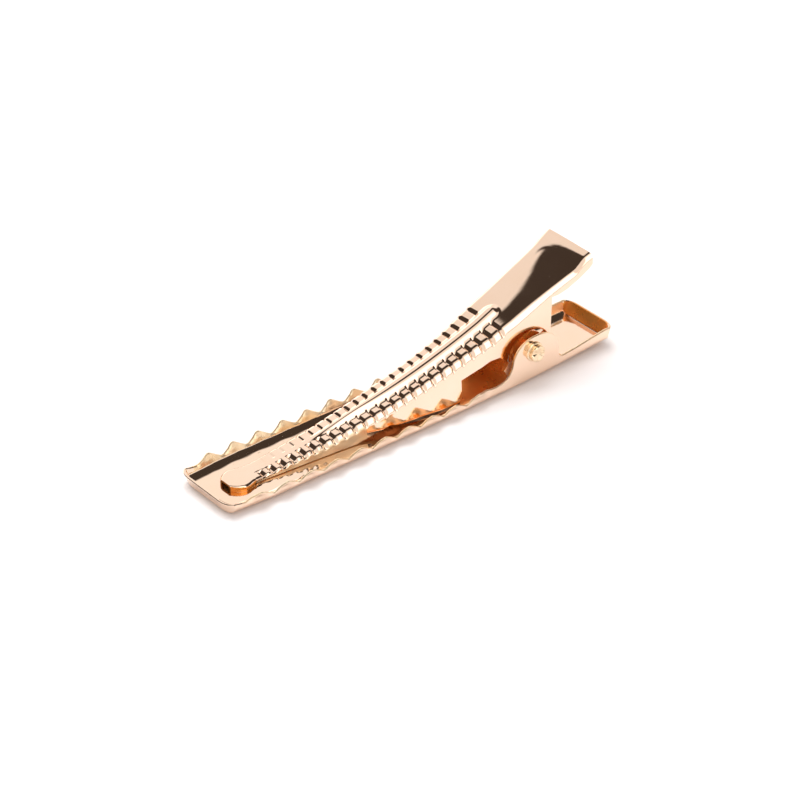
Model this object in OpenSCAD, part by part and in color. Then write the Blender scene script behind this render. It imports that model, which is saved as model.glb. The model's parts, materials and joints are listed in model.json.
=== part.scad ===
// Toothed alligator hair clip: a pressed tray jaw, an arched upper jaw with a
// finger handle, a riveted pivot pin and a torsion spring on the pin.
// Lengths in mm.  X runs from the gripping tip (-X) to the finger end (+X),
// Z is up, the flat underside of the tray jaw lies on Z = 0.
// Positions along the clip are given as the distance s from the front lip.

/* [Overall] */
// Length from the front lip to the tail flange
clip_len = 46.6; // [46.2:0.1:48]
// Width of the tray jaw across its toothed walls
jaw_w = 8.2; // [8.0:0.1:9.0]
// Width of the tray jaw at the tail
tail_w = 6.8; // [6.8:0.1:7.6]
// Thickness of the pressed sheet
sheet_t = 0.4; // [0.34:0.02:0.42]

/* [Teeth] */
// Number of teeth along each wall
tooth_n = 10; // [6:1:10]
// Distance between neighbouring tooth peaks
tooth_pitch = 2.8; // [2.5:0.1:2.8]
// Height of the tooth peaks above the underside
tooth_peak = 1.6; // [1.5:0.05:1.9]
// Height of the valleys between the teeth
tooth_valley = 0.9; // [0.8:0.05:1.2]

/* [Upper jaw] */
// Width of the finger handle
handle_w = 5.86; // [5.4:0.02:5.9]
// Widening of the handle at its end, on each side
handle_flare = 0.4; // [0:0.05:0.4]
// Slope of the finger handle (rise per mm of length)
handle_slope = 0.43; // [0.38:0.01:0.45]
// Height of the stiffening rib above the plate
rib_h = 0.4; // [0.2:0.05:0.5]
// Depth of the grip grooves pressed across the arm
groove_d = 0.12; // [0.06:0.02:0.16]
// Number of grip grooves on each side of the rib
groove_n = 25; // [10:1:25]

/* [Pivot and spring] */
// Diameter of the pivot pin
pin_d = 1.5; // [1.3:0.05:1.6]
// Running clearance between the pin and the upper jaw, on the radius
pin_gap = 0.05; // [0.03:0.01:0.08]
// Diameter of the spring wire
wire_d = 0.5; // [0.4:0.05:0.6]
// Number of turns in the spring coil
coil_turns = 4; // [3:1:5]

/* [Hidden] */
gold = [0.93, 0.74, 0.58];
gold_light = [0.96, 0.80, 0.66];
steel = [0.78, 0.76, 0.72];
eps = 0.002;

// ---- tray jaw ----
wall_top = 5.2;      // rough height of the walls before they are trimmed
bend_r = 0.6;        // outside radius of the folds of the tray
lip_h = 1.35;        // height of the front lip
lip_lean = 0.5;      // forward lean of the lip per mm of height
front_w = 7.5;       // width across the front lip
full_s = 5;          // the tray reaches its full width here
taper_s = 28;        // the tray starts to narrow towards the tail here
kick_s = 34;         // the underside starts to lift towards the tail here
kick_h = 0.35;       // lift of the underside at the tail
flange_h = 2.0;      // height of the tail flange
tail_lean = 0.3;    // backward lean of the tail flange, measured at wall_top
tooth_s0 = 3.55;     // first tooth peak
ear_s = 36.05;       // centre of the rounded ear
ear_z = 2.3;
ear_rs = 2.97;       // half its length
ear_rz = 2.79;       // its height above the centre
ear_full = 0.87;     // fullness of its outline, 1 is a plain ellipse

// ---- pivot ----
pin_s = 35.75;
pin_z = 3.5;
head_h = 0.75;       // height of the peened heads
head_d1 = 1.9;
head_d2 = 1.4;

// ---- upper jaw ----
tip_s = 2.5;         // front end of the upper jaw
end_s = 43.35;       // end of the finger handle
arch_s = 6.75;       // the arm starts to rise here
plate_z0 = 0.96;     // top of the plate at the tip
arch_a = 0.1;
arch_b = 0.0022;
arch_c = 0.0000816;
hinge_s = 31.75;     // the arm runs straight behind this point
fold_r = 0.5;        // outside radius of the folds of the upper jaw
rib_s0 = 11;
rib_s1 = 34.5;
groove_s1 = 32.7;
groove_pitch = 1.115;
groove_half = 0.24;
web_s = 38.6;          // rear edge of the side webs
notch_s = 36.0;      // centre of the relief notch around the pivot
notch_z = 3.1;
notch_r = 2.4;
ear_low = 2.7;       // reach of the ears below the pin
ear_disc = 2.0;      // lobe left around the pin inside the notch
dish_d = 0.15;       // depth of the finger dish in the handle

function plate_z(s) =
    let (u = min(max(s - arch_s, 0), hinge_s - arch_s))
    plate_z0 + arch_a * u + arch_b * u * u + arch_c * u * u * u
    + handle_slope * max(s - hinge_s, 0);

// outside half width of the upper jaw
function half_w(s) = lookup(s, [
    [2.5, 0.75], [2.75, 1.1], [3.15, 1.42], [3.65, 1.62], [4.15, 1.58],
    [4.7, 1.36], [5.3, 1.24], [6.2, 1.26], [7.75, 1.40], [15.75, 1.91],
    [19.75, 2.17], [27.75, 2.47], [30.0, 2.65], [hinge_s, handle_w / 2],
    [web_s, handle_w / 2], [41.5, handle_w / 2 + 0.1], [end_s, handle_w / 2 + handle_flare]]);

// height of the lower edge of the side skirts and ears
function skirt_z(s) =
    s < 4.95 ? plate_z(s) - sheet_t - 0.06 :
    abs(s - pin_s) < 2.4 ? pin_z - sqrt(ear_low * ear_low - pow(s - pin_s, 2)) :
    lookup(s, [
        [5.05, 0.5], [15.9, 0.5], [19.6, 1.2], [21.7, 0.7], [23.5, 0.5], [27.3, 0.5], [27.7, 1.8], [27.8, 2.95],
        [30.2, 3.45], [31.2, 3.75], [32.3, 3.75], [32.5, 2.3], [33.0, 1.45],
        [38.2, 2.3], [web_s - 0.05, 3.4], [web_s + 0.05, 7.9], [40.6, 8.2],
        [43.0, 9.6], [end_s, 9.95]]);

function smooth(a, b, s) = let (t = min(max((s - a) / (b - a), 0), 1)) t * t * (3 - 2 * t);

function rib_w(s) = s > rib_s1 - 1.1
    ? 1.1 * sqrt(max(1 - pow((s - rib_s1 + 1.1) / 1.1, 2), 0.01))
    : 0.35 + 0.75 * smooth(rib_s0, 26, s);
function rib_z(s) = rib_h * smooth(rib_s0, 20, s) * (1 - smooth(rib_s1 - 0.9, rib_s1, s));

// grip grooves: 1 in the middle of a groove, 0 outside
function groove_at(s) =
    let (k = round((groove_s1 - s) / groove_pitch))
    k < 0 || k >= groove_n ? 0 :
    max(0, 1 - abs(groove_s1 - k * groove_pitch - s) / groove_half);

// shallow finger dish pressed into the handle
function dish(s) = dish_d * smooth(35.5, 37, s) * (1 - smooth(41.9, 42.3, s));

// one half of the outer section, from the skirt edge up to the rib
function outer_half(s) =
    let (w = half_w(s), z = plate_z(s), b = skirt_z(s), g = groove_d * groove_at(s),
         r = min(fold_r, 0.5 * (z - b)), k = (r - g) * cos(45), rw = min(rib_w(s), w - fold_r - 0.1),
         h = rib_z(s), d = dish(s))
    [[w, b],
     [w, z - r],
     [w - r + k, z - r + k],
     [w - r, z - g],
     [rw, z - g - d],
     [rw * 0.6, z - d + h * 0.75]];

// one half of the inner section
function inner_half(s) =
    let (w = half_w(s), z = plate_z(s), b = skirt_z(s), t = sheet_t, r = fold_r,
         k = (r - t) * cos(45), rw = min(rib_w(s), w - r - 0.1), h = rib_z(s), d = dish(s))
    [[w - t, b],
     [w - t, max(z - r, b + 0.02)],
     [w - r + k, max(z - r + k, b + 0.04)],
     [w - r, z - t],
     [rw * 0.9, z - t - d],
     [rw * 0.5, z - t - d + h * 0.75]];

function across(p) = [for (i = [len(p) - 1:-1:0]) [-p[i][0], p[i][1]]];
function ring(s) =
    let (o = outer_half(s), n = inner_half(s), z = plate_z(s), h = rib_z(s), d = dish(s))
    concat(o, [[0, z - d + h]], across(o),
        [for (p = n) [-p[0], p[1]]], [[0, z - sheet_t - d + h]], [for (i = [len(n) - 1:-1:0]) n[i]]);

function sorted(v) = len(v) < 2 ? v :
    let (p = v[floor(len(v) / 2)])
    concat(sorted([for (x = v) if (x < p - 0.06) x]), [p],
           sorted([for (x = v) if (x > p + 0.06) x]));

stations = sorted(concat(
    [2.5, 2.75, 3.15, 3.65, 4.15, 4.7, 4.9, 5.05, 6.2, 7.75],
    [for (k = [0:groove_n - 1]) for (e = [-1, 0, 1]) groove_s1 - k * groove_pitch + e * groove_half],
    [27.3, 27.7, 27.8, 30.2, 31.2, 32.3, 32.5, 33.0],
    [for (a = [-60:15:60]) pin_s + ear_low * sin(a)],
    [33.7, 34.1, 34.38, 34.5, 37, 38.2, web_s - 0.05, web_s + 0.05, 40.6, 41.9, 42.1, 42.3, 43.0, end_s]));

module sheet_loft() {
    rings = [for (s = stations) ring(s)];
    m = len(rings[0]);
    n = len(rings);
    points = [for (i = [0:n - 1]) for (p = rings[i]) [stations[i], p[0], p[1]]];
    sides = [for (i = [0:n - 2]) for (j = [0:m - 1])
        let (k = (j + 1) % m)
        each [[i * m + j, i * m + k, (i + 1) * m + k],
              [i * m + j, (i + 1) * m + k, (i + 1) * m + j]]];
    last = (n - 1) * m;
    ends = [for (j = [0:m / 2 - 2])
        each [[m - 1 - j, m - 2 - j, j + 1, j],
              [last + j, last + j + 1, last + m - 2 - j, last + m - 1 - j]]];
    polyhedron(points = points, faces = concat(sides, ends), convexity = 10);
}

// moves a shape drawn from the front lip into the centred frame
module from_lip() {
    translate([-clip_len / 2, 0, 0]) children();
}

// extrudes a side view drawn in (s, z) across the clip between two y values
module side_view(y0, y1) {
    translate([0, y1, 0]) rotate([90, 0, 0]) linear_extrude(height = y1 - y0) children();
}

// half width of the tray at s
function tray_w(s) = lookup(s, [[0, front_w / 2], [full_s, jaw_w / 2], [taper_s, jaw_w / 2], [clip_len, tail_w / 2]]);

// solid body of the tray with rounded lower edges; g is the distance inside
// the outer surface
module tray_body(g) {
    r = bend_r - g;
    lean = lip_lean * (wall_top - lip_h);
    hull() {
        for (a = [0:30:90]) {
            i = g + r * (1 - cos(a));
            z = g + r * (1 - sin(a));
            tray_row(lip_lean * (lip_h - z) + i + 0.1 * g, front_w / 2 - 0.15 - i, z);
            for (s = [full_s, taper_s, kick_s]) tray_row(s, tray_w(s) - i, z);
            tray_row(clip_len - 0.1 - i, tail_w / 2 - i, z + kick_h);
        }
        tray_row(1.1 * g - lean, front_w / 2 - g, wall_top);
        for (s = [full_s, taper_s]) tray_row(s, tray_w(s) - g, wall_top);
        tray_row(clip_len + tail_lean - g, tail_w / 2 - g, wall_top);
    }
}

module tray_row(s, w, z) {
    translate([s, -w, z]) cube([eps, 2 * w, eps]);
}

// outline of the tray seen from the side: lip, teeth, rounded ear, tail
module tray_profile() {
    polygon(concat(
        [[-4, -1], [-4, lip_h], [0.7, lip_h], [tooth_s0 - 1.5, tooth_valley + 0.25]],
        [for (i = [0:tooth_n - 1]) for (e = [0, 1])
            e == 0 ? [tooth_s0 + i * tooth_pitch, tooth_peak]
                   : [tooth_s0 + (i + 0.5) * tooth_pitch, i < tooth_n - 1 ? tooth_valley : 1.5]],
        [[31.1, 1.45], [32.0, 1.55], [32.5, 1.7], [32.95, 2.4]],
        [for (a = [169:-7.9:11]) [ear_s + ear_rs * sign(cos(a)) * pow(abs(cos(a)), ear_full),
                                  ear_z + ear_rz * pow(sin(a), ear_full)]],
        [[39.05, 1.9], [39.3, 1.52], [39.6, 1.48], [41.2, 1.58], [43, 1.78], [45, 1.97]],
        [[46, flange_h], [clip_len + 2, flange_h], [clip_len + 2, -1]]));
}

module lower_jaw() {
    color(gold) from_lip() difference() {
        intersection() {
            difference() {
                tray_body(0);
                tray_body(sheet_t);
            }
            side_view(-jaw_w, jaw_w) tray_profile();
        }
        translate([pin_s, jaw_w, pin_z]) rotate([90, 0, 0]) cylinder(h = 2 * jaw_w, d = pin_d + 0.02, $fn = 48);
    }
}

// openings in the side webs: a crescent around the pin lobe and a small nick
// in front of the ear
module web_openings() {
    difference() {
        translate([notch_s, notch_z]) circle(r = notch_r, $fn = 90);
        translate([pin_s, pin_z - 0.25]) circle(r = ear_disc, $fn = 72);
        polygon([[34.0, 2.2], [pin_s, pin_z], [notch_s + 2.3, notch_z + 1.1], [41, 3.6], [41, -1], [30, -1]]);
    }
    polygon([[32, 3.72], [32.32, 3.72], [33.3, 2.8], [32.5, 2.15], [32, 2.15]]);
}

module upper_jaw() {
    color(gold_light) from_lip() difference() {
        sheet_loft();
        side_view(-jaw_w, jaw_w) web_openings();
        translate([pin_s, jaw_w, pin_z]) rotate([90, 0, 0])
            cylinder(h = 2 * jaw_w, d = pin_d + 2 * pin_gap, $fn = 48);
    }
}

module pivot_rivet() {
    y = tray_w(pin_s - head_d1 / 2);
    color(gold) from_lip() translate([pin_s, 0, pin_z]) rotate([90, 0, 0])
        rotate_extrude($fn = 48)
            polygon([[0, -y - head_h], [head_d2 / 2 - 0.12, -y - head_h], [head_d2 / 2, -y - head_h + 0.12],
                     [head_d1 / 2, -y], [pin_d / 2, -y], [pin_d / 2, y], [head_d1 / 2, y],
                     [head_d2 / 2, y + head_h - 0.12], [head_d2 / 2 - 0.12, y + head_h], [0, y + head_h]]);
}

// ---- torsion spring ----
coil_r = pin_d / 2 + 0.3 + wire_d / 2;
coil_pitch = wire_d + 0.14;
coil_y = coil_turns * coil_pitch / 2;
wrap_steps = 20 * coil_turns;
leg_low = [3.2, -2.69];  // free end of the lower leg, from the pin, on the tray floor
leg_high = [3.0, 4.86];  // free end of the upper leg, from the pin, under the handle

// angle at which a straight leg ending at p leaves the coil; the side is 1
// where the coil is left counter-clockwise and -1 where it is left clockwise
function leaving(p, side) = atan2(p[1], p[0]) + side * acos(coil_r / norm(p));
function on_coil(a, y) = [coil_r * cos(a), y, coil_r * sin(a)];

// centre line: lower leg, coil, upper leg, as (s, y, z) from the pin
function spring_path() =
    let (a0 = leaving(leg_low, -1),
         a1 = leaving(leg_high, 1) - 360 * coil_turns)
    concat(
        [[leg_low[0], -coil_y, leg_low[1]], (on_coil(a0, -coil_y) + [leg_low[0], -coil_y, leg_low[1]]) / 2],
        [for (i = [0:wrap_steps]) on_coil(a0 + (a1 - a0) * i / wrap_steps, coil_y * (2 * i / wrap_steps - 1))],
        [(on_coil(a1, coil_y) + [leg_high[0], coil_y, leg_high[1]]) / 2, [leg_high[0], coil_y, leg_high[1]]]);

module torsion_spring() {
    path = spring_path();
    n = len(path);
    k = 8;
    function unit(v) = v / norm(v);
    rings = [for (i = [0:n - 1])
        let (t = unit(path[min(i + 1, n - 1)] - path[max(i - 1, 0)]),
             side = unit(cross(t, [0, 1, 0])),
             up = cross(side, t))
        [for (j = [0:k - 1]) path[i] + wire_d / 2 * (cos(360 * j / k) * side + sin(360 * j / k) * up)]];
    color(steel) from_lip() translate([pin_s, 0, pin_z])
        polyhedron(points = [for (r = rings) each r],
            faces = concat(
                [for (i = [0:n - 2]) for (j = [0:k - 1]) let (m = (j + 1) % k)
                    each [[i * k + j, (i + 1) * k + m, i * k + m],
                          [i * k + j, (i + 1) * k + j, (i + 1) * k + m]]],
                [[for (j = [0:k - 1]) j], [for (j = [k - 1:-1:0]) (n - 1) * k + j]]),
            convexity = 10);
}

lower_jaw();
upper_jaw();
pivot_rivet();
torsion_spring();
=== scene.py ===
"""Looks of the toothed alligator hair clip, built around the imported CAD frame.

Shapes are worked out in millimetres, as (s, y, z): s is the distance behind
the front lip, y runs along the pivot pin and z up from the underside.
"""
import json
import math

import bmesh
import bpy
import numpy as np
from mathutils import Matrix, Vector

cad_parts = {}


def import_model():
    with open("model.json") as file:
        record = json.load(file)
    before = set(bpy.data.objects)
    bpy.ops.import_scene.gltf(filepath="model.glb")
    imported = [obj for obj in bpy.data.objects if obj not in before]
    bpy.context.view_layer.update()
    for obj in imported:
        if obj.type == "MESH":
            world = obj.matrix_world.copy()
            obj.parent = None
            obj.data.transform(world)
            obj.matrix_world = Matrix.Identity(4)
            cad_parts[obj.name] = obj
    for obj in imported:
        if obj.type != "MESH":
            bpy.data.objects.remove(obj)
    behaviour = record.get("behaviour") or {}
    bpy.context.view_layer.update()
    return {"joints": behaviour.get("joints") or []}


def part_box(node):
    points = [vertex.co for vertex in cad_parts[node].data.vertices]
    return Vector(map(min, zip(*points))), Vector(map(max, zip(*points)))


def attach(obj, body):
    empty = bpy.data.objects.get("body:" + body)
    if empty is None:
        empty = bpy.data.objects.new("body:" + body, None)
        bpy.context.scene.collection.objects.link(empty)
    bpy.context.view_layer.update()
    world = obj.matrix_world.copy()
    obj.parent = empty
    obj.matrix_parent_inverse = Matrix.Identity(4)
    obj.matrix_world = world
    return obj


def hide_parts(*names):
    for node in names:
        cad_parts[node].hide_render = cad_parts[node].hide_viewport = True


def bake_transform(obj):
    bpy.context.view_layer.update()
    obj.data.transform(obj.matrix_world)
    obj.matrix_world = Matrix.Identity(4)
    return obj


MM = 0.001
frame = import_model()
tray_low, tray_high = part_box("lower_jaw")
arm_low, arm_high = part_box("upper_jaw")
pin_low, pin_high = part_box("pivot_rivet")
LIP_X = tray_low.x
CLIP_LEN = (tray_high.x - tray_low.x) / MM
HINGE = frame["joints"][0]["pos_m"]
PIN_S = (HINGE[0] - LIP_X) / MM
PIN_Z = HINGE[2] / MM
SHEET = 0.4
SHARP_DEG, ROUND_DEG = 38, 50    # edges sharper than this are drawn sharp, on sheet and on round parts


# ---------------------------------------------------------------- helpers
def ramp(a, b, x):
    """0 before a, 1 after b, smooth between them."""
    t = np.clip((np.asarray(x, float) - a) / (b - a), 0, 1)
    return t * t * (3 - 2 * t)


def table(x, rows, soft=0.0):
    """Straight interpolation in rows of (x, value), rounded off over +-soft."""
    xs, ys = zip(*rows)
    x = np.asarray(x, float)
    if not soft:
        return np.interp(x, xs, ys)
    taps = np.linspace(-soft, soft, 41)
    return np.mean([np.interp(x + d, xs, ys) for d in taps], axis=0)


def to_object(name, points, faces, smooth_deg=SHARP_DEG):
    """A mesh object from points in (s, y, z) mm and faces of point numbers."""
    p = np.asarray(points, float) * MM
    p[:, 0] += LIP_X
    mesh = bpy.data.meshes.new(name)
    mesh.from_pydata(p.tolist(), [], [tuple(int(i) for i in f) for f in faces])
    bm = bmesh.new()
    bm.from_mesh(mesh)
    bmesh.ops.remove_doubles(bm, verts=bm.verts, dist=2e-7)
    bmesh.ops.dissolve_degenerate(bm, edges=bm.edges, dist=1e-7)
    bmesh.ops.recalc_face_normals(bm, faces=bm.faces)
    bm.to_mesh(mesh)
    bm.free()
    mesh.shade_smooth()
    mesh.set_sharp_from_angle(angle=math.radians(smooth_deg))
    obj = bpy.data.objects.new(name, mesh)
    bpy.context.scene.collection.objects.link(obj)
    return obj


def prism(name, outline, width=12.0):
    """A cutter: an outline of (s, z) points, extruded across the clip."""
    n = len(outline)
    points = [(s, y, z) for y in (-width / 2, width / 2) for s, z in outline]
    faces = [tuple(range(n - 1, -1, -1)), tuple(range(n, 2 * n))]
    faces += [(i, (i + 1) % n, n + (i + 1) % n, n + i) for i in range(n)]
    return to_object(name, points, faces)


def cut(obj, cutters):
    """Cuts each cutter out of obj, and removes the cutters."""
    for c in cutters:
        m = obj.modifiers.new("cut", "BOOLEAN")
        m.object = c
        m.operation = "DIFFERENCE"
        m.solver = "EXACT"
    bpy.context.view_layer.update()
    done = bpy.data.meshes.new_from_object(obj.evaluated_get(bpy.context.evaluated_depsgraph_get()))
    obj.modifiers.clear()
    obj.data = done
    for c in cutters:
        bpy.data.objects.remove(c)
    done.shade_smooth()
    done.set_sharp_from_angle(angle=math.radians(SHARP_DEG))


def circle(cs, cz, r, n=64):
    """A closed outline of n points around (cs, cz)."""
    turns = [2 * math.pi * i / n for i in range(n)]
    return [(cs + r * math.cos(a), cz + r * math.sin(a)) for a in turns]


def grid(rows, columns):
    """Quads of a lattice of points, closed round each row."""
    c = columns
    return [(v * c + j, v * c + (j + 1) % c, (v + 1) * c + (j + 1) % c, (v + 1) * c + j)
            for v in range(rows - 1) for j in range(c)]


def bridge(r0, r1, n):
    """Quads between two rings of n points that start at r0 and r1."""
    return [(r0 + j, r0 + (j + 1) % n, r1 + (j + 1) % n, r1 + j) for j in range(n)]


# ---------------------------------------------------------------- upper jaw
TIP_S = (arm_low.x - LIP_X) / MM
END_S = (arm_high.x - LIP_X) / MM
TIP_END = 4.95          # the gripping tip ends here, and the skirts begin
ARCH_S0, ARCH_S1 = 6.75, 31.75
TIP_TOP, SLOPE, TIP_SHEET = 0.96, 0.43, 0.2
EAR_LOW, EAR_REACH = 2.7, 2.4   # ears: radius below the pin, and half their length
LOBE_R, LOBE_Z = 1.95, 3.25     # lobe left around the pin inside the crescent opening
ARM_BORE_R = 0.8
RIB_S0, RIB_S1, RIB_H, RIB_W = 11.0, 34.5, 0.42, 1.12
GROOVE_S1, GROOVE_PITCH, GROOVES = 32.7, 1.115, 25
HALF_WIDTHS = [(4.7, 1.36), (5.3, 1.24), (6.2, 1.26), (7.75, 1.40), (15.75, 1.91), (19.75, 2.17),
               (27.75, 2.47), (30.0, 2.65), (31.75, 2.93), (39, 2.93), (41.0, 2.98), (END_S, 3.33)]
TIP_WIDTHS = [(TIP_S, 0.75), (2.75, 1.1), (3.15, 1.42), (3.65, 1.62), (4.15, 1.58), (4.7, 1.36),
              (5.3, 1.24), (6.2, 1.26)]
# (s, z) of the skirts' lower edge: front skirt, guide flap, window, tab, ear, web, handle
SKIRT_EDGE = [(4.95, 0.62), (5.1, 0.5), (15.9, 0.5), (19.6, 1.2), (20.1, 1.05), (21.7, 0.7), (23.5, 0.5),
              (27.3, 0.5), (27.34, 0.9), (27.7, 1.8), (27.76, 2.9), (30.2, 3.4), (31.2, 3.75), (32.3, 3.75),
              (32.36, 2.4), (32.62, 2.2), (33.2, 1.0), (38.2, 2.3), (38.55, 3.4), (38.65, 7.9), (39.5, 7.9),
              (40.6, 8.15), (41.8, 8.76), (43.0, 9.6), (END_S, 9.95)]
FOLD_RADII = [(2, 0.3), (5, 0.42), (14, 0.66), (30, 0.86), (35, 0.86), (39, 0.66), (44, 0.6)]


def plate_z(s):
    """Top of the plate: flat tip, arched arm, straight handle."""
    s = np.asarray(s, float)
    u = np.clip(s - ARCH_S0, 0, ARCH_S1 - ARCH_S0)
    arch = 0.1 * u + 0.0022 * u ** 2 + 0.0000816 * u ** 3
    return TIP_TOP + arch + SLOPE * np.maximum(s - ARCH_S1, 0)


def half_w(s):
    """Outside half width."""
    blend = ramp(4.9, 5.6, s)
    return (1 - blend) * table(s, TIP_WIDTHS, 0.12) + blend * table(s, HALF_WIDTHS, 0.7)


def skirt_z(s):
    """Lower edge of the skirts and ears, or of the thin sheet at the tip."""
    low = table(s, SKIRT_EDGE)
    ear = PIN_Z - np.sqrt(np.maximum(EAR_LOW ** 2 - (s - PIN_S) ** 2, 0))
    low = np.where(np.abs(s - PIN_S) < EAR_REACH, ear, low)
    return np.where(s < TIP_END, 0.43 + 0.06 * ramp(4.2, 4.9, s), low)


def fold_r(s):
    """Outside radius of the folds between plate and skirts."""
    return np.minimum(table(s, FOLD_RADII, 0.8), 0.55 * (plate_z(s) - skirt_z(s)))


def tilt(s, side):
    """Slope angle of the plate where the near (-1) or far (1) fold starts."""
    near = [(5, 1.5), (12, 2), (32.9, 2.5), (34.2, 10), (36, 11), (39, 10), (41.6, 8.5), (42.5, 1), (44, 1)]
    far = [(5, 1.5), (12, 2), (41.4, 3), (42.1, 1), (44, 1)]
    return np.radians(table(s, near if side < 0 else far, 0.35))


def rib_w(s):
    """Half width of the rib: it widens from a narrow start."""
    return 0.4 + (RIB_W - 0.4) * ramp(RIB_S0, 24, s)


def rib_rise(s, y):
    """Half-round stiffening rib, with a domed end under the handle."""
    away = np.hypot(np.maximum(s - (RIB_S1 - RIB_W), 0), y) / rib_w(s)
    return RIB_H * ramp(RIB_S0, 18, s) * (1 - ramp(0.12, 1.0, away))


def groove(s, side):
    """Depth of the grip grooves, which are deeper and wider across the near fold."""
    k = np.clip(np.round((GROOVE_S1 - s) / GROOVE_PITCH), 0, GROOVES - 1)
    d = np.abs(GROOVE_S1 - k * GROOVE_PITCH - s)
    if side < 0:
        deep = table(s, [(4.9, 0.0), (5.5, 0.30), (12, 0.26), (16, 0.19)])
        wide = table(s, [(11, 0.38), (16, 0.26)])
    else:
        deep, wide = table(s, [(6.5, 0.0), (8, 0.05), (12, 0.11), (18, 0.19)]), 0.24
    return deep * (1 - ramp(0.04, 1.0, d / wide))


def fall(s, y, side):
    """Drop of the plate at y: it rolls over to the near fold, and a little to the far one."""
    def roll(x, soft):
        """0 below -soft and x above soft, on a smooth bend."""
        x = np.clip(x + soft, 0, None)
        part = np.minimum(x, 2 * soft)
        return part ** 2 / (4 * soft) + x - part

    start = table(s, [(33, 0.75), (34.6, 0.95), (36.6, 0.65), (38.6, -0.15), (40.3, -1.2), (41.3, -1.8),
                      (44, -1.8)], 0.4)
    near = np.tan(tilt(s, -1)) * roll((y if side < 0 else -y) - start, 0.25 + 0.35 * ramp(33.5, 36, s))
    return near + (np.tan(tilt(s, 1)) * roll(y - 1.2, 0.4) if side > 0 else 0)


def dish(s, y, side):
    """Finger scoop of the handle, with a firm rounded corner at its far end."""
    edge = np.maximum(y - 1.0, 0) if side > 0 else 0.3 * np.maximum(y - 1.9, 0)
    past = np.hypot(np.maximum(s - 41.0, 0), edge)
    soft = 0.75 - 0.5 * ramp(38.5, 41.2, s)
    return 0.03 * ramp(37.5, 41.2, s) * (1 - ramp(0.85 - soft, 0.85 + 0.3 * soft, past))


def arm_stations():
    """Where the cross sections stand: close at the grooves, and on every step of the skirts."""
    fine = np.arange(7.0, 34.6, 0.085)
    steps = [4.95, 4.99, 5.1, 27.3, 27.34, 27.7, 27.76, 32.3, 32.36, 32.62, 33.2, 38.2, 38.55, 38.65,
             PIN_S - EAR_REACH, PIN_S + EAR_REACH]
    tip = TIP_S + 2.2 * np.linspace(0, 1, 18) ** 1.5
    every = np.concatenate([tip, np.arange(4.8, 7.0, 0.2), fine, np.arange(34.6, 40.8, 0.2),
                            np.arange(40.8, 42.9, 0.07), np.arange(42.9, END_S, 0.1), steps, [END_S]])
    every = np.sort(every)
    keep = [every[0]]
    for v in every[1:]:
        if v - keep[-1] > 0.018:
            keep.append(v)
    keep[-1] = END_S
    return np.array(keep)


def arm_half(s, inner, side):
    """Half sections (n, m, 2) of the outer or inner surface, from the centre to the skirt's edge.

    side is -1 for the near half and 1 for the far half.
    """
    w, z, r, rw = half_w(s), plate_z(s), fold_r(s), rib_w(s)
    tau = tilt(s, side)
    cross = groove(s, side)
    b = skirt_z(s)
    t = (TIP_SHEET + (SHEET - TIP_SHEET) * ramp(3.6, 8.0, s)) if inner else 0.0
    press = 0.5 if inner else 1     # share of the grooves' depth that shows on this surface
    ri = np.maximum(r - t, 0.08)
    yc = w - r
    ye = yc + ri * np.sin(tau)
    rw = np.minimum(rw, ye - 0.12)
    cols = []
    on_rib = (0, 0.1, 0.2, 0.32, 0.44, 0.56, 0.68, 0.8, 0.92, 1.0)
    beside_rib = (0.08, 0.18, 0.3, 0.42, 0.54, 0.66, 0.78, 0.89, 1.0)
    ys = [rw * f for f in on_rib] + [rw + (ye - rw) * f for f in beside_rib]
    top = z - t
    for y in ys:
        pressed = cross * ramp(0.7, 1.0, y / rw) * press
        height = top - fall(s, y, side) + rib_rise(s, y) - pressed - dish(s, y, side)
        cols.append(np.stack([y, height], 1))
    zc = top - fall(s, ye, side) - dish(s, ye, side) - ri * np.cos(tau)
    for f in np.linspace(0, 1, 9)[1:]:
        a = tau + (math.pi / 2 - tau) * f
        rg = ri - cross * (1 - ramp(0.7, 0.97, f)) * press
        cols.append(np.stack([yc + rg * np.sin(a), zc + rg * np.cos(a)], 1))
    zc = np.maximum(zc, b + 0.03)
    for f in (0.06, 0.3, 0.55, 0.8, 1.0):
        cols.append(np.stack([w - t + splay(s) * (zc - b) * (f - 0.03), zc + (b - zc) * f], 1))
    return tongue(s[:, None], np.stack(cols, 1))


def splay(s):
    """Outward lean of the skirts, per mm of height."""
    return table(s, [(5, 0.02), (8, 0.08), (16, 0.16), (20, 0.24), (27.3, 0.24), (31.2, 0), (44, 0)], 0.6)


def tongue(s, half):
    """The tab between the window and the pivot flares out towards the tray wall."""
    z = half[..., 1]
    tab = 0.38 * np.clip(3.0 - z, 0, 1.45) * ramp(32.2, 32.36, s) * (1 - ramp(33.9, 34.9, s))
    flare = 0.10 * ramp(26.2, 27.7, s) * (1 - ramp(27.74, 27.78, s)) * (1 - ramp(1.0, 3.0, z))
    out = half.copy()
    out[..., 0] = half[..., 0] + tab - flare
    return out


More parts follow.
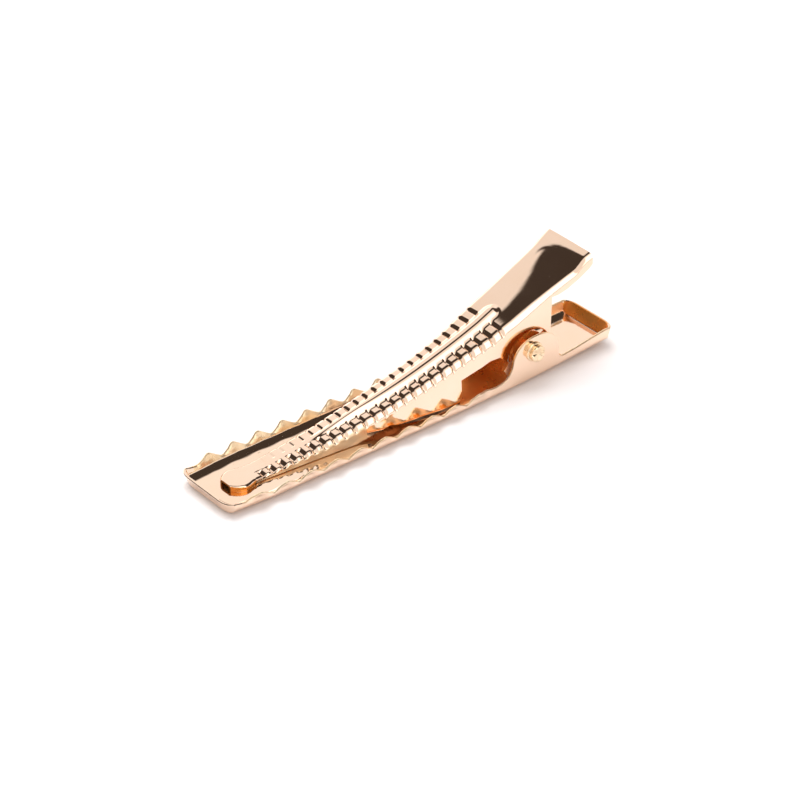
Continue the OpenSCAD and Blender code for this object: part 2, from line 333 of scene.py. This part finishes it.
def build_arm():
    """The arm as rings of both halves' sections, capped at the ends, with its openings cut."""
    s = arm_stations()
    flip = np.array([-1.0, 1.0])
    halves = {}
    for side in (-1, 1):
        outer, inner = arm_half(s, False, side), arm_half(s, True, side)
        rim = np.stack([outer[:, -1] * (1 - f) + inner[:, -1] * f - [0, 0.07 * math.sin(math.pi * f)]
                        for f in (0.25, 0.5, 0.75)], 1)
        halves[side] = outer, inner, rim
    m = outer.shape[1]
    (near, near_in, near_rim), (far, far_in, far_rim) = halves[-1], halves[1]
    ring = np.concatenate([near[:, :0:-1] * flip, far, far_rim, far_in[:, :0:-1], near_in * flip,
                           near_rim[:, ::-1] * flip], 1)
    n, c = ring.shape[:2]
    points = np.concatenate([np.repeat(s[:, None, None], c, 1), ring], 2).reshape(-1, 3)
    faces = grid(n, c)
    half = 2 * m - 1
    k = rim.shape[1]
    for base in (0, (n - 1) * c):
        for j in range(half - 1):
            inner_j = base + half + k + (half - 1 - j)
            faces.append((base + j, base + j + 1, inner_j - 1, inner_j))
        faces.append(tuple(base + q for q in range(half - 1, half + k + 1)))
        faces.append(tuple(base + q % c for q in range(2 * half + k - 1, c + 1)))
    arm = to_object("upper_jaw_pressing", points, faces)
    outer_arc = []
    for deg in np.linspace(33, 173, 41):
        c = math.cos(math.radians(deg))
        outer_arc.append((35.9 + 2.5 * c, 3.0 + 2.3 * (1 - abs(c) ** 2.2) ** (1 / 2.2)))
    lobe = [math.radians(deg) for deg in np.linspace(209, 27, 41)]
    inner_arc = [(PIN_S + LOBE_R * math.cos(a), LOBE_Z + LOBE_R * math.sin(a)) for a in lobe]
    crescent = prism("crescent", outer_arc + [(33.7, 3.03), (33.98, 2.3)] + inner_arc)
    nick = prism("nick", [(31.9, 3.72), (32.32, 3.72), (33.3, 2.8), (32.45, 2.15), (31.9, 2.15)])
    bore = prism("bore", circle(PIN_S, PIN_Z, ARM_BORE_R))
    cut(arm, [crescent, nick, bore])
    return arm


# ---------------------------------------------------------------- tray jaw
TOOTH_S0, PITCH, TEETH = 3.55, 2.8, 10
FOLD_SIDE, FOLD_END = (1.5, 0.85), (0.5, 0.5)   # (across, up) sizes of the folds
RIM = 0.27                                     # sheet thinned at its sheared rims
LIP_H, FLANGE_H, KICK = 1.35, 2.0, 0.35
LIP_LEAN, TAIL_LEAN, WALL_LEAN = 0.41, 0.42, 0.13
TRAY_BORE_R = 0.77
PEAK, VALLEY, LAST_VALLEY = 1.7, 0.84, 1.5
EAR_MID_S, EAR_MID_Z = 36.05, 2.3
EAR_HALF, EAR_UP, EAR_POWER = 2.97, 2.79, 2.3   # superellipse of the rounded ear
# (s, z) of the rim before the ear, under it and behind it
RIM_REAR = [(31.1, 1.45), (32.0, 1.55), (32.5, 1.7), (32.95, 2.4), (33.1, 2.8), (38.8, 2.4), (39.05, 1.9),
            (39.3, 1.5), (39.6, 1.46), (41.2, 1.56), (43, 1.76), (45, 1.97), (46, FLANGE_H), (50, FLANGE_H)]


def tray_w(s):
    """Half width of the tray, outside."""
    return table(s, [(0, 3.75), (5, 4.1), (28, 4.1), (CLIP_LEN, 3.4)], 0.8)


def rim_profile(s):
    """Height of the side walls: lip, teeth, ear, tail."""
    teeth = []
    for i in range(TEETH):
        p = TOOTH_S0 + i * PITCH
        teeth += [(p, PEAK), (p + 1.5, VALLEY if i < TEETH - 1 else LAST_VALLEY)]
    low = table(s, [(0, LIP_H), (0.7, LIP_H), (2.0, 1.1)] + teeth + RIM_REAR, 0.24)
    across = 1 - (np.abs(s - EAR_MID_S) / EAR_HALF) ** EAR_POWER
    ear = np.where(across > 0, EAR_MID_Z + EAR_UP * np.maximum(across, 0) ** (1 / EAR_POWER), 0)
    return np.maximum(low, ear)


def kick(s):
    """The tail's floor curves up towards the end flange."""
    u = np.clip((s - 34) / (CLIP_LEN - 0.6 - 34), 0, 1)
    return KICK * u ** 1.5


def wave(s, z):
    """Teeth pressed slightly outwards, valleys slightly inwards."""
    on = ramp(1.6, 2.6, s) * (1 - ramp(29.6, 30.8, s))
    along = (s - TOOTH_S0 + 0.2 + PITCH / 2) % PITCH - PITCH / 2
    return on * (0.13 * np.cos(2 * math.pi * (s - TOOTH_S0) / PITCH) * ramp(0.7, 1.5, z)
                 - 0.09 * np.exp(-(along / 0.4) ** 2 - ((z - 1.2) / 0.24) ** 2))


def build_tray():
    """The tray as closed outlines, stacked from the underside over the rim and down inside."""
    across, up_side = FOLD_SIDE
    ahead, up_end = FOLD_END
    front = LIP_LEAN * (LIP_H - up_end) + ahead
    rear = CLIP_LEN - TAIL_LEAN * (FLANGE_H - up_end - KICK) - ahead
    side = np.unique(np.concatenate([np.arange(front, rear, 0.1), np.arange(32.9, 33.7, 0.03),
                                     np.arange(38.5, 39.05, 0.03), [rear]]))
    side = side[np.concatenate([[True], np.diff(side) > 0.012])]
    side[-1] = rear
    cols = 24                                  # quads across the floor
    turn = [math.radians(90 * i / 6) for i in range(1, 6)]
    base, out = [], []

    def put(x, y, nx, ny):
        """A point of the floor's outline, and the direction its wall faces."""
        base.append((x, y))
        out.append((nx, ny))

    def fold(x):
        """Reach of the side folds: it breathes a little with the teeth."""
        on = ramp(2.5, 4.0, x) * (1 - ramp(28.0, 30.0, x))
        return across + 0.14 * on * np.cos(2 * math.pi * (np.asarray(x) - TOOTH_S0 - 0.5) / PITCH)

    def inset(x):
        """Half width of the flat floor."""
        return float(tray_w(x) - fold(x))

    for x in side:
        put(x, -inset(x), 0, -1)
    for a in turn:
        put(rear, -inset(rear), math.sin(a), -math.cos(a))
    for i in range(cols + 1):
        put(rear, -inset(rear) + 2 * inset(rear) * i / cols, 1, 0)
    for a in turn:
        put(rear, inset(rear), math.cos(a), math.sin(a))
    for x in side[::-1]:
        put(x, inset(x), 0, 1)
    for a in turn:
        put(front, inset(front), -math.sin(a), math.cos(a))
    for i in range(cols + 1):
        put(front, inset(front) - 2 * inset(front) * i / cols, -1, 0)
    for a in turn:
        put(front, -inset(front), -math.cos(a), -math.sin(a))
    base, out = np.array(base), np.array(out)
    s = base[:, 0]
    ends = np.abs(out[:, 0])
    lean = np.where(out[:, 0] < 0, LIP_LEAN * ends, TAIL_LEAN * ends)
    side_lean = WALL_LEAN * (1 - ramp(30.5, 33.0, s)) * np.abs(out[:, 1])
    up = up_side * (1 - ends) + up_end * ends
    reach = np.stack([np.full_like(s, ahead), fold(s)], 1)
    top = rim_profile(s)
    end_h = np.where(out[:, 0] < 0, LIP_H, FLANGE_H)
    top = np.where(ends > 0, top * (1 - ends) + end_h * ends, top) - kick(s)
    levels = []

    def level(share, extra, z):
        """Points at share of the fold's reach outwards, plus extra mm, at height z."""
        z = np.broadcast_to(z, s.shape)
        push = wave(s, z) * np.abs(out[:, 1]) * (ends == 0) + side_lean * (np.clip(z, up, 2.2) - 1.4)
        shift = (np.broadcast_to(extra, s.shape) + push)[:, None]
        p = base + out * (reach * np.reshape(share, (-1, 1)) + shift)
        levels.append(np.column_stack([p, z + kick(s)]))

    one = np.ones_like(s)
    round_up = 0.05                            # height of the rounded rim
    wall = (0.12, 0.28, 0.45, 0.62, 0.8, 1.0)
    for f in np.linspace(0, 1, 9):
        a = math.pi / 2 * f
        level(math.sin(a) * one, 0, up * (1 - math.cos(a)))
    for f in wall:
        z = up + (top - round_up - up) * f
        level(one, lean * (z - up), z)
    for f in (0.25, 0.5, 0.75):
        level(one, lean * (top - up) - RIM * f, top - round_up + round_up * math.sin(math.pi * f))
    for f in wall[::-1]:
        z = up + (top - round_up - up) * f
        level(one, lean * (z - up) - SHEET + (SHEET - RIM) * f, z)
    for f in np.linspace(1, 0, 9):
        a = math.pi / 2 * f
        level(one * math.sin(a), -SHEET * math.sin(a), SHEET + (up - SHEET) * (1 - math.cos(a)))
    c = len(s)
    points = np.concatenate(levels)
    faces = grid(len(levels), c)
    # the flat floor, as rows across between the two long sides
    ns = len(side)
    corner = len(turn)
    far_start = ns + corner + cols + 1 + corner
    far = [far_start + ns - 1 - i for i in range(ns)]
    front_row = [far_start + ns + corner + cols - j for j in range(cols + 1)]
    rear_row = [ns + corner + j for j in range(cols + 1)]
    points = list(map(tuple, points))
    for lev in (0, len(levels) - 1):
        rows = []
        for i in range(ns):
            a, b = points[lev * c + i], points[lev * c + far[i]]
            row = [lev * c + i]
            for j in range(1, cols):
                f = j / cols
                points.append(tuple(a[q] * (1 - f) + b[q] * f for q in range(3)))
                row.append(len(points) - 1)
            row.append(lev * c + far[i])
            rows.append(row)
        pairs = list(zip(rows[:-1], rows[1:]))
        pairs += [(rows[0], [lev * c + q for q in front_row]), (rows[-1], [lev * c + q for q in rear_row])]
        for r0, r1 in pairs:
            faces += [(r0[j], r0[j + 1], r1[j + 1], r1[j]) for j in range(cols)]
    tray = to_object("lower_jaw_pressing", points, faces)
    cut(tray, [prism("hole", circle(PIN_S, PIN_Z, TRAY_BORE_R))])
    return tray


# ---------------------------------------------------------------- finishes
# The third material is painted light: its saturated orange-brown stands in for light bounced many times
# between the gold faces inside the clip.
POLISHED, SATIN, PAINTED_BOUNCE = 0, 1, 2     # places of the materials on both jaws


def finishes(obj, pick):
    """Sets each face's material from pick(centre in (s, y, z) mm, normal)."""
    for f in obj.data.polygons:
        c = f.center
        f.material_index = pick(((c.x - LIP_X) / MM, c.y / MM, c.z / MM), f.normal)


def arm_finish(c, n):
    """Polished outside, pale satin on the front skirts and underside; painted inter-reflection further back
    inside and on the tip's steep faces: a saturated orange-brown that stands in for light bounced between
    gold faces.
    """
    s, y, z = c
    under = float(plate_z(s)) - 0.25 * SHEET
    steep = abs(n.z) < 0.6
    if steep and (s < 4.0 or s < 4.93 and z < 0.9):
        return PAINTED_BOUNCE
    if 4.9 < s < 17.0 and n.y * y > 0 and abs(n.y) > 0.6 and z < under - 0.2:
        return SATIN
    if (n.z < -0.25 and z < under) or (n.y * y < 0 and abs(n.y) > 0.5 and z < under - 0.1):
        return PAINTED_BOUNCE if s > 25.0 else SATIN
    if 31.0 < s < 39.0 and abs(y) > 2.0 and z < under - 0.9 and abs(n.y) < 0.3:
        return PAINTED_BOUNCE
    if abs(y) > 2.5 and math.hypot(s - PIN_S, z - LOBE_Z) < LOBE_R - 0.05 and s > 33.9:
        return PAINTED_BOUNCE
    return SATIN if abs(y) > 2.5 and 32.2 < s < 33.9 and z < 3.05 else POLISHED


def tray_finish(c, n):
    """Polished outside and on the floor, satin rims and walls; painted inter-reflection around the spring,
    on the tail flange's inner face and on the near wall's inner face: a saturated orange-brown that stands
    in for light bounced between gold faces.
    """
    s, y, z = c
    wall = abs(y) > 2.4 and n.y * y < 0
    if s > 44.3 and n.x < -0.35 and z > 0.8:
        return PAINTED_BOUNCE
    if 27.0 < s < 40.5 and (z < 0.6 and n.z > 0.5 or wall and n.z < 0.6):
        return PAINTED_BOUNCE
    if wall and y < 0 and 3.0 < s < 31.0 and n.z < 0.35:
        return PAINTED_BOUNCE
    rim = abs(y) > 3.0 and s > 1.5 and z > 0.8 and (n.z > 0.3 or abs(n.x) > 0.4)
    return SATIN if rim or (wall and n.z < 0.35) else POLISHED


# ---------------------------------------------------------------- rivet and spring
PIN_R = 0.75


def build_rivet():
    """Pin with shouldered ends, each crushed unevenly by the peening tool."""
    wall = float(tray_w(PIN_S))
    tipy = pin_high.y / MM
    profile = [(PIN_R, 0.0), (PIN_R, wall - 0.02), (0.95, wall), (0.98, wall + 0.05), (0.98, wall + 0.14),
               (0.94, wall + 0.19), (0.82, wall + 0.21), (0.80, wall + 0.26), (0.80, wall + 0.38),
               (0.83, wall + 0.42), (0.84, tipy - 0.16), (0.82, tipy - 0.06), (0.74, tipy - 0.01),
               (0.6, tipy), (0.45, tipy - 0.03), (0.3, tipy - 0.08), (0.15, tipy - 0.12)]
    seg = 72
    points, faces = [], []

    def ring_of(r, y, sign, phase):
        """Adds a ring of the profile, dented near the pin's end, and gives its first point."""
        first = len(points)
        crushed = ramp(tipy - 0.2, tipy, y)
        for i in range(seg):
            a = 2 * math.pi * i / seg
            dent = 0.17 * max(0.0, math.cos(2 * a + phase)) ** 5
            dent += 0.09 * max(0.0, math.cos(3 * a - 1.3 * phase)) ** 6
            rr = r * (1 - crushed * dent * 0.9) + 0.015 * crushed * math.sin(5 * a + phase)
            yy = y - crushed * (dent * 1.1 + 0.03 * (1 + math.sin(a + phase))) * min(1, r / 0.4)
            points.append((PIN_S + rr * math.cos(a), sign * yy, PIN_Z + rr * math.sin(a)))
        return first

    for sign, phase in ((-1, 0.7), (1, 2.1)):
        rows = [ring_of(r, y, sign, phase) for r, y in profile]
        for r0, r1 in zip(rows[:-1], rows[1:]):
            faces += bridge(r0, r1, seg)
        points.append((PIN_S, sign * (tipy - 0.14), PIN_Z))
        faces += [(rows[-1] + i, rows[-1] + (i + 1) % seg, len(points) - 1) for i in range(seg)]
    return to_object("pivot_rivet_peened", points, faces, ROUND_DEG)


WIRE_R, COIL_TURNS, COIL_PITCH = 0.25, 4, 0.64
COIL_R = PIN_R + 0.3 + WIRE_R
COIL_Y = COIL_TURNS * COIL_PITCH / 2
LEG_LOW, LEG_HIGH = (3.2, -2.69), (3.0, 4.86)        # leg ends, as (s, z) from the pin
WIRE_END = ((0.0, 1.0), (0.06, 0.94), (0.1, 0.75))    # (reach, share of the radius) of the cut ends


def build_spring():
    """Wire along its lower leg, the coil and its upper leg."""
    def leaving(p, side):
        """Angle at which a straight leg to p leaves the coil."""
        return math.atan2(p[1], p[0]) + side * math.acos(COIL_R / math.hypot(*p))

    a0, a1 = leaving(LEG_LOW, -1), leaving(LEG_HIGH, 1) - 2 * math.pi * COIL_TURNS
    start = COIL_R * math.cos(a0), COIL_R * math.sin(a0)
    stop = COIL_R * math.cos(a1), COIL_R * math.sin(a1)
    steps, leg_steps = 44 * COIL_TURNS, 13
    path = []
    for i in range(leg_steps):
        f = i / leg_steps
        path.append((LEG_LOW[0] + (start[0] - LEG_LOW[0]) * f, -COIL_Y,
                     LEG_LOW[1] + (start[1] - LEG_LOW[1]) * f))
    for i in range(steps + 1):
        f = i / steps
        a = a0 + (a1 - a0) * f
        across = 2 * float(ramp(0.02, 0.98, f) * 0.35 + f * 0.65) - 1
        path.append((COIL_R * math.cos(a), COIL_Y * across, COIL_R * math.sin(a)))
    for i in range(1, leg_steps + 1):
        f = i / leg_steps
        path.append((stop[0] + (LEG_HIGH[0] - stop[0]) * f, COIL_Y, stop[1] + (LEG_HIGH[1] - stop[1]) * f))
    path = [Vector((p[0] + PIN_S, p[1], p[2] + PIN_Z)) for p in path]
    seg = 14
    points, faces, rows = [], [], []
    last = len(path) - 1
    for i, p in enumerate(path):
        t = (path[min(i + 1, last)] - path[max(i - 1, 0)]).normalized()
        side = t.cross(Vector((0, 1, 0))).normalized()
        up = side.cross(t)
        away = -t if i == 0 else t
        ends = WIRE_END[::-1] if i == 0 else WIRE_END if i == last else WIRE_END[:1]
        for push, scale in ends:
            centre = p + away * push
            rows.append(len(points))
            for j in range(seg):
                a = 2 * math.pi * j / seg
                points.append(tuple(centre + WIRE_R * scale * (math.cos(a) * side + math.sin(a) * up)))
    for r0, r1 in zip(rows[:-1], rows[1:]):
        faces += bridge(r0, r1, seg)
    faces.append(tuple(rows[0] + j for j in range(seg)))
    faces.append(tuple(rows[-1] + j for j in range(seg - 1, -1, -1)))
    return to_object("torsion_spring_wire", points, faces, ROUND_DEG)


# ---------------------------------------------------------------- materials
def node(tree, kind, place, **values):
    """A node at a place, with its sockets or settings given by name."""
    n = tree.nodes.new(kind)
    n.location = place
    for key, v in values.items():
        if key in n.inputs:
            n.inputs[key].default_value = v
        else:
            setattr(n, key, v)
    return n


def remap(tree, place, source, lo, hi, to_lo, to_hi):
    """Map Range from lo..hi to to_lo..to_hi."""
    n = node(tree, "ShaderNodeMapRange", place)
    for key, v in (("From Min", lo), ("From Max", hi), ("To Min", to_lo), ("To Max", to_hi)):
        n.inputs[key].default_value = v
    tree.links.new(source, n.inputs["Value"])
    return n.outputs["Result"]


def plated(name, tone, deep, rough, bump, grain=(1, 1, 1), metallic=1.0):
    """Gold plating: slight colour drift, soft smears, fine dust and press marks."""
    mat = bpy.data.materials.new(name)
    mat.use_nodes = True
    tree = mat.node_tree
    link = tree.links.new
    shader = tree.nodes["Principled BSDF"]
    shader.inputs["Metallic"].default_value = metallic
    coord = node(tree, "ShaderNodeTexCoord", (-1400, 0))
    drift = node(tree, "ShaderNodeTexNoise", (-900, 250), Scale=260.0, Detail=3.0)
    link(coord.outputs["Object"], drift.inputs["Vector"])
    colour = node(tree, "ShaderNodeValToRGB", (-650, 250))
    colour.color_ramp.elements[0].position = 0.35
    colour.color_ramp.elements[0].color = (*deep, 1)
    colour.color_ramp.elements[1].position = 0.65
    colour.color_ramp.elements[1].color = (*tone, 1)
    link(drift.outputs["Fac"], colour.inputs["Fac"])
    link(colour.outputs["Color"], shader.inputs["Base Color"])
    smear = node(tree, "ShaderNodeTexNoise", (-900, -50), Scale=420.0, Detail=5.0, Roughness=0.6)
    link(coord.outputs["Object"], smear.inputs["Vector"])
    dust = node(tree, "ShaderNodeTexVoronoi", (-900, -350), Scale=1500.0, Randomness=1.0)
    link(coord.outputs["Object"], dust.inputs["Vector"])
    total = node(tree, "ShaderNodeMath", (-400, -150), operation="ADD")
    total.use_clamp = True
    link(remap(tree, (-650, -50), smear.outputs["Fac"], 0.3, 0.75, rough, rough * 2.2), total.inputs[0])
    link(remap(tree, (-650, -350), dust.outputs["Distance"], 0.05, 0.0, 0.0, 0.5), total.inputs[1])
    link(total.outputs[0], shader.inputs["Roughness"])
    stretch = node(tree, "ShaderNodeMapping", (-1150, -650))
    stretch.inputs["Scale"].default_value = grain
    link(coord.outputs["Object"], stretch.inputs["Vector"])
    marks = node(tree, "ShaderNodeTexNoise", (-900, -650), Scale=900.0, Detail=6.0, Roughness=0.55)
    link(stretch.outputs["Vector"], marks.inputs["Vector"])
    relief = node(tree, "ShaderNodeBump", (-400, -500), Strength=bump, Distance=0.0002)
    link(marks.outputs["Fac"], relief.inputs["Height"])
    link(relief.outputs["Normal"], shader.inputs["Normal"])
    return mat


gold_tray = plated("plated_tray", (0.97, 0.74, 0.57), (0.96, 0.72, 0.54), 0.05, 0.05, (0.3, 1, 1))
gold_arm = plated("plated_arm", (0.975, 0.735, 0.57), (0.965, 0.715, 0.54), 0.055, 0.05, (0.25, 1, 1))
gold_pin = plated("plated_pin", (0.93, 0.74, 0.52), (0.86, 0.64, 0.40), 0.07, 0.3)
gold_wire = plated("plated_wire", (0.96, 0.68, 0.44), (0.92, 0.60, 0.35), 0.14, 0.12)
satin = plated("plated_satin", (0.98, 0.78, 0.54), (0.95, 0.68, 0.40), 0.22, 0.15, (0.4, 1, 1), 0.8)
# Painted inter-reflection: this saturated orange-brown base colour stands in for light bounced many times
# between gold faces in the clip's recesses, and goes on the inside faces that arm_finish and tray_finish
# pick.
painted_bounce_mat = plated("plated_inside_painted_bounce", (0.93, 0.40, 0.09), (0.82, 0.28, 0.04), 0.19, 0.15, (0.4, 1, 1), 0.7)


def dress(obj, mats, body, cad):
    """Gives a piece its materials and its body if one is given, and hides the CAD node that it replaces."""
    obj.data.materials.clear()
    for mat in mats:
        obj.data.materials.append(mat)
    if body:
        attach(obj, body)
    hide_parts(cad)


arm = build_arm()
dress(arm, (gold_arm, satin, painted_bounce_mat), "arm", "upper_jaw")
finishes(arm, arm_finish)
tray = build_tray()
dress(tray, (gold_tray, satin, painted_bounce_mat), "tray", "lower_jaw")
finishes(tray, tray_finish)
rivet = build_rivet()
dress(rivet, (gold_pin,), "tray", "pivot_rivet")
spring = build_spring()
dress(spring, (gold_wire,), None, "torsion_spring")
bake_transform(spring)


# ---------------------------------------------------------------- studio
def floor():
    """Round sheet of matt white paper."""
    bm = bmesh.new()
    bmesh.ops.create_circle(bm, cap_ends=True, radius=0.9, segments=96)
    mesh = bpy.data.meshes.new("studio_floor")
    bm.to_mesh(mesh)
    bm.free()
    obj = bpy.data.objects.new("studio_floor", mesh)
    bpy.context.scene.collection.objects.link(obj)
    mat = bpy.data.materials.new("studio_paper")
    mat.use_nodes = True
    tree = mat.node_tree
    shader = tree.nodes["Principled BSDF"]
    shader.inputs["Roughness"].default_value = 1.0
    shader.inputs["Specular IOR Level"].default_value = 0.0
    fibre = node(tree, "ShaderNodeTexNoise", (-700, 100), Scale=900.0, Detail=4.0)
    tone = node(tree, "ShaderNodeValToRGB", (-450, 100))
    tone.color_ramp.elements[0].color = (0.93, 0.92, 0.92, 1)
    tone.color_ramp.elements[1].color = (0.96, 0.955, 0.955, 1)
    tree.links.new(fibre.outputs["Fac"], tone.inputs["Fac"])
    tree.links.new(tone.outputs["Color"], shader.inputs["Base Color"])
    mesh.materials.append(mat)


GAP_COLOUR, TENT_COLOUR = (0.055, 0.043, 0.036, 1), (1, 0.975, 0.96, 1)
TENT_LEVEL, RIGHT_EXTRA, PATCH_EXTRA = 0.93, 0.14, 0.95
CAMERA_COLOUR, CAMERA_LEVEL = (1, 1, 1, 1), 1.2        # what the camera sees behind the floor
FILL_COLOUR, FILL_LEVEL = (1, 0.945, 0.945, 1), 0.74    # what matt surfaces receive


def world():
    """White tent with darker gaps overhead, to the right, behind on the left and at the horizon.

    Two brighter patches stand in front and behind. The camera sees plain white,
    and matt surfaces get an even, slightly pink fill.
    """
    w = bpy.data.worlds.new("studio")
    bpy.context.scene.world = w
    w.use_nodes = True
    tree = w.node_tree
    link = tree.links.new
    back = tree.nodes["Background"]
    coord = node(tree, "ShaderNodeTexCoord", (-1600, 0))
    split = node(tree, "ShaderNodeSeparateXYZ", (-1400, 0))
    link(coord.outputs["Generated"], split.inputs[0])

    def edge(source, lo, hi, y):
        """0 at lo, 1 at hi, smooth between them."""
        n = node(tree, "ShaderNodeMapRange", (-1000, y), interpolation_type="SMOOTHSTEP")
        n.inputs["From Min"].default_value = lo
        n.inputs["From Max"].default_value = hi
        link(source, n.inputs["Value"])
        return n.outputs["Result"]

    def math_node(op, a, b, x, y):
        """A Math node on two sockets or numbers."""
        n = node(tree, "ShaderNodeMath", (x, y), operation=op)
        for i, v in enumerate((a, b)):
            if hasattr(v, "is_linked"):
                link(v, n.inputs[i])
            else:
                n.inputs[i].default_value = v
        return n.outputs[0]

    def gap(ranges, y0):
        """1 inside every (source, low edge, high edge) range, with soft borders."""
        out = None
        for i, (source, lo, hi, soft) in enumerate(ranges):
            parts = []
            if lo is not None:
                parts.append(edge(source, lo - soft, lo + soft, y0 - 60 * i))
            if hi is not None:
                parts.append(edge(source, hi + soft, hi - soft, y0 - 60 * i - 30))
            for part in parts:
                out = part if out is None else math_node("MULTIPLY", out, part, -600, y0 - 60 * i)
        return out

    x, y, z = (split.outputs[k] for k in ("X", "Y", "Z"))
    overhead = gap([(y, 0.10, 0.53, 0.06), (z, 0.62, None, 0.08)], 600)
    right_front = gap([(x, 0.32, None, 0.06), (y, None, 0.22, 0.08), (z, 0.44, None, 0.05)], 300)
    left_rear = gap([(x, None, -0.11, 0.05), (y, 0.10, None, 0.06), (z, 0.05, None, 0.03)], 0)
    horizon = gap([(z, -0.01, 0.05, 0.01)], -300)
    dark = math_node("MAXIMUM", math_node("MAXIMUM", overhead, right_front, -400, 300),
                     math_node("MAXIMUM", left_rear, horizon, -400, -100), -250, 100)
    lit = math_node("SUBTRACT", 1.0, dark, -120, 0)
    front = gap([(x, -0.34, 0.34, 0.06), (y, None, -0.22, 0.08), (z, 0.12, None, 0.05)], -500)
    behind = gap([(y, 0.80, None, 0.04), (z, 0.05, 0.40, 0.05)], -700)
    shine = math_node("MAXIMUM", front, behind, 0, -300)
    right = gap([(x, 0.22, None, 0.22)], -900)
    base = node(tree, "ShaderNodeMath", (0, -300), operation="MULTIPLY_ADD")
    link(right, base.inputs[0])
    base.inputs[1].default_value = RIGHT_EXTRA
    base.inputs[2].default_value = TENT_LEVEL
    glow = node(tree, "ShaderNodeMath", (100, -200), operation="MULTIPLY_ADD")
    link(shine, glow.inputs[0])
    glow.inputs[1].default_value = PATCH_EXTRA
    link(base.outputs[0], glow.inputs[2])
    tint = node(tree, "ShaderNodeMix", (200, 100), data_type="RGBA")
    link(lit, tint.inputs["Factor"])
    tint.inputs[6].default_value = GAP_COLOUR
    tint.inputs[7].default_value = TENT_COLOUR
    level = node(tree, "ShaderNodeMix", (300, -150), data_type="FLOAT")
    link(lit, level.inputs[0])
    level.inputs[2].default_value = 1.0
    link(glow.outputs[0], level.inputs[3])
    path = node(tree, "ShaderNodeLightPath", (300, 400))
    tone = node(tree, "ShaderNodeMix", (450, 250), data_type="RGBA")
    link(path.outputs["Is Camera Ray"], tone.inputs["Factor"])
    link(tint.outputs[2], tone.inputs[6])
    tone.inputs[7].default_value = CAMERA_COLOUR
    strength = node(tree, "ShaderNodeMix", (450, -50), data_type="FLOAT")
    link(path.outputs["Is Camera Ray"], strength.inputs[0])
    link(level.outputs[0], strength.inputs[2])
    strength.inputs[3].default_value = CAMERA_LEVEL
    fill = node(tree, "ShaderNodeMix", (550, -200), data_type="FLOAT")
    link(path.outputs["Is Diffuse Ray"], fill.inputs[0])
    link(strength.outputs[0], fill.inputs[2])
    fill.inputs[3].default_value = FILL_LEVEL
    soft = node(tree, "ShaderNodeMix", (550, 250), data_type="RGBA")
    link(path.outputs["Is Diffuse Ray"], soft.inputs["Factor"])
    link(tone.outputs[2], soft.inputs[6])
    soft.inputs[7].default_value = FILL_COLOUR
    link(soft.outputs[2], back.inputs["Color"])
    link(fill.outputs[0], back.inputs["Strength"])
    back.location = (650, 0)
    tree.nodes["World Output"].location = (850, 0)


def softbox(name, place, size, power):
    """Area light aimed at the origin, left out of reflections."""
    data = bpy.data.lights.new(name, "AREA")
    data.shape = "RECTANGLE"
    data.size, data.size_y = size
    data.energy = power
    obj = bpy.data.objects.new(name, data)
    bpy.context.scene.collection.objects.link(obj)
    obj.location = place
    obj.rotation_euler = (-Vector(place)).to_track_quat("-Z", "Y").to_euler()
    obj.visible_glossy = False


def camera():
    """The photo's viewpoint."""
    azimuth, elevation = math.radians(-39.248), math.radians(32.880)
    level = math.cos(elevation)
    back = Vector((math.sin(azimuth) * level, -math.cos(azimuth) * level, math.sin(elevation)))
    right = Vector((math.cos(azimuth), math.sin(azimuth), 0))
    up = back.cross(right)
    distance = 0.26474
    aim = Vector((LIP_X + 14.75 * MM, 0, 1.6 * MM)) + right * 6.0799 * MM + up * 2.6328 * MM
    data = bpy.data.cameras.new("camera")
    data.sensor_width = 36
    data.lens = 130.5
    data.clip_start, data.clip_end = 0.01, 10
    obj = bpy.data.objects.new("camera", data)
    bpy.context.scene.collection.objects.link(obj)
    pose = Matrix((right, up, back)).transposed().to_4x4()
    pose.translation = aim + back * distance
    obj.matrix_world = pose
    bpy.context.scene.camera = obj


floor()
world()
softbox("key", (0.06, 0.40, 0.95), (0.75, 0.75), 7.6)
camera()
view = bpy.context.scene.view_settings
view.view_transform = "Standard"
view.look = "None"
